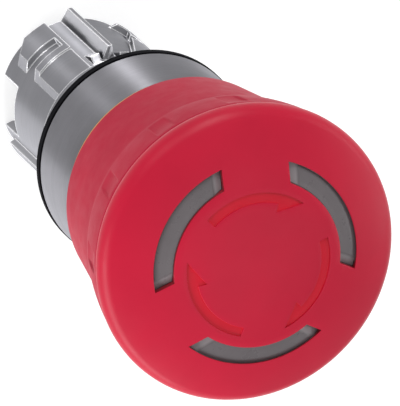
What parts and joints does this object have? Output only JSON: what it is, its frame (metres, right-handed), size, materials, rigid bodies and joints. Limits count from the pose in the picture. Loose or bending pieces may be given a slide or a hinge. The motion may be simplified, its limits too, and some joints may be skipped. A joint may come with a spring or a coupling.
{
  "type": "emergency stop push button",
  "caption": "Twist-to-release mushroom emergency stop head with lit windows and turn arrows in its red cap, a bright collar and a metal housing for a 22 mm panel hole.",
  "frame": {"origin": "on the button's axis, in the plane of the panel's front face", "axes": "+Z points out of the panel towards the operator; the wide catch of the rear housing faces +Y and its two side lugs face +X and -X"},
  "size_m": [0.04, 0.04, 0.0725],
  "materials": {
    "red_face": "satin",
    "red_skirt": "satin",
    "lens": "smoked, satin",
    "white_plastic": "moulded",
    "yellow_plastic": "moulded",
    "black_plastic": "moulded",
    "clear_plastic": "clear",
    "bright_metal": "turned, satin bright",
    "cast_metal": "die-cast, satin",
    "spring_steel": "drawn wire",
    "rubber": "matte"
  },
  "bodies": {
    "housing": {"rear_housing": "cast_metal", "panel_gasket": "rubber", "collar": "bright_metal", "guide_bush": "white_plastic", "spring_seat": "spring_steel", "return_spring": "spring_steel", "seal_retainer": "spring_steel", "shaft_seal": "rubber", "trip_spring": "spring_steel", "trip_circlip": "spring_steel"},
    "plunger": {"plunger": "black_plastic", "light_pipe": "clear_plastic", "push_ring": "black_plastic", "hub_circlip": "spring_steel", "hub_torsion_spring": "spring_steel"},
    "trip": {"trip_ring": "white_plastic", "trip_pins": "spring_steel"},
    "cap": {"cap_face": "red_face", "cap_skirt": "red_skirt", "light_diffuser": "lens", "cap_hub": "white_plastic", "yellow_ring": "yellow_plastic"}
  },
  "joints": [
    {"name": "push", "type": "slide", "parent": "housing", "child": "plunger", "axis": [0, 0, -1], "range_m": [0, 0.0045], "stiffness_N_per_m": 2500, "springref_m": -0.004, "deforming": ["return_spring"]},
    {"name": "trip_turn", "type": "hinge", "parent": "housing", "child": "trip", "pos_m": [0, 0, -0.00725], "axis": [0, 0, 1], "range_deg": [0, 15.5]},
    {"name": "release_twist", "type": "hinge", "parent": "plunger", "child": "cap", "pos_m": [0, 0, 0.034], "axis": [0, 0, -1], "range_deg": [0, 45], "stiffness_Nm_per_rad": 0.15, "springref_deg": -11.46}
  ],
  "couplings": [
    {"joint": "trip_turn", "follows": "push", "rad_per_m": 58.178}
  ]
}
